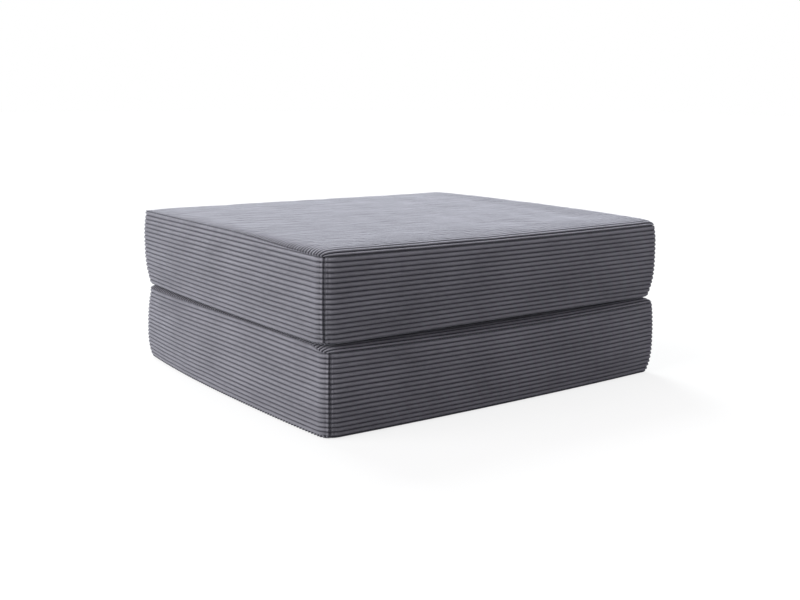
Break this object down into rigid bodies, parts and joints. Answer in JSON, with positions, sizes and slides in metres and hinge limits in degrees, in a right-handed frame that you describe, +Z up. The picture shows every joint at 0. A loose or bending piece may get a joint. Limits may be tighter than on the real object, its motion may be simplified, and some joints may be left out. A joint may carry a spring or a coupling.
{
  "type": "fold out ottoman guest bed",
  "caption": "Two corduroy covered foam blocks joined by a cloth hinge strip: an ottoman when folded, a low single guest bed when the upper block is turned over.",
  "frame": {"origin": "centre of the lower block's flat underside, where it rests on the floor", "axes": "+X along the bed towards the hinge, +Y across it towards the zips, +Z up"},
  "size_m": [1.0089, 0.9032, 0.4],
  "materials": {
    "corduroy": "grey jumbo corduroy with a soft pile sheen",
    "foam": "open cell polyurethane foam",
    "wadding": "white polyester fibre wadding",
    "zip_tape": "dark grey woven tape",
    "zip_coil": "dark grey nylon",
    "zip_metal": "dark grey enamel, satin",
    "hinge_cloth": "dark grey plain weave cloth"
  },
  "bodies": {
    "lower_block": {"lower_foam_core": "foam", "lower_wadding_outer_sheet": "wadding", "lower_wadding_inner_sheet": "wadding", "lower_cover_outer_panel": "corduroy", "lower_cover_sleeping_panel": "corduroy", "lower_cover_front_border": "corduroy", "lower_cover_free_end_border": "corduroy", "lower_cover_hinge_end_border": "corduroy", "lower_cover_zip_strip_outer": "corduroy", "lower_cover_zip_strip_inner": "corduroy", "lower_zip_tape_outer": "zip_tape", "lower_zip_tape_inner": "zip_tape", "lower_zip_coil_outer": "zip_coil", "lower_zip_coil_inner": "zip_coil", "lower_zip_end_tabs": "zip_tape", "lower_hinge_leaf": "hinge_cloth"},
    "lower_slider": {"lower_zip_slider": "zip_metal"},
    "lower_puller": {"lower_zip_puller": "zip_metal"},
    "upper_block": {"upper_foam_core": "foam", "upper_wadding_outer_sheet": "wadding", "upper_wadding_inner_sheet": "wadding", "upper_cover_outer_panel": "corduroy", "upper_cover_sleeping_panel": "corduroy", "upper_cover_front_border": "corduroy", "upper_cover_free_end_border": "corduroy", "upper_cover_hinge_end_border": "corduroy", "upper_cover_zip_strip_outer": "corduroy", "upper_cover_zip_strip_inner": "corduroy", "upper_zip_tape_outer": "zip_tape", "upper_zip_tape_inner": "zip_tape", "upper_zip_coil_outer": "zip_coil", "upper_zip_coil_inner": "zip_coil", "upper_zip_end_tabs": "zip_tape", "upper_hinge_leaf": "hinge_cloth"},
    "upper_slider": {"upper_zip_slider": "zip_metal"},
    "upper_puller": {"upper_zip_puller": "zip_metal"}
  },
  "joints": [
    {"name": "fold", "type": "hinge", "parent": "lower_block", "child": "upper_block", "pos_m": [0.503, 0, 0.2], "axis": [0, 1, 0], "range_deg": [0, 180]},
    {"name": "lower_zip_slide", "type": "slide", "parent": "lower_block", "child": "lower_slider", "axis": [1, 0, 0], "range_m": [0, 0.857]},
    {"name": "lower_puller_swing", "type": "hinge", "parent": "lower_slider", "child": "lower_puller", "pos_m": [-0.4285, 0.45105, 0.09985], "axis": [0, 0, 1], "range_deg": [0, 180]},
    {"name": "upper_zip_slide", "type": "slide", "parent": "upper_block", "child": "upper_slider", "axis": [1, 0, 0], "range_m": [0, 0.857]},
    {"name": "upper_puller_swing", "type": "hinge", "parent": "upper_slider", "child": "upper_puller", "pos_m": [-0.4345, 0.45105, 0.29765], "axis": [0, 0, 1], "range_deg": [0, 180]}
  ]
}
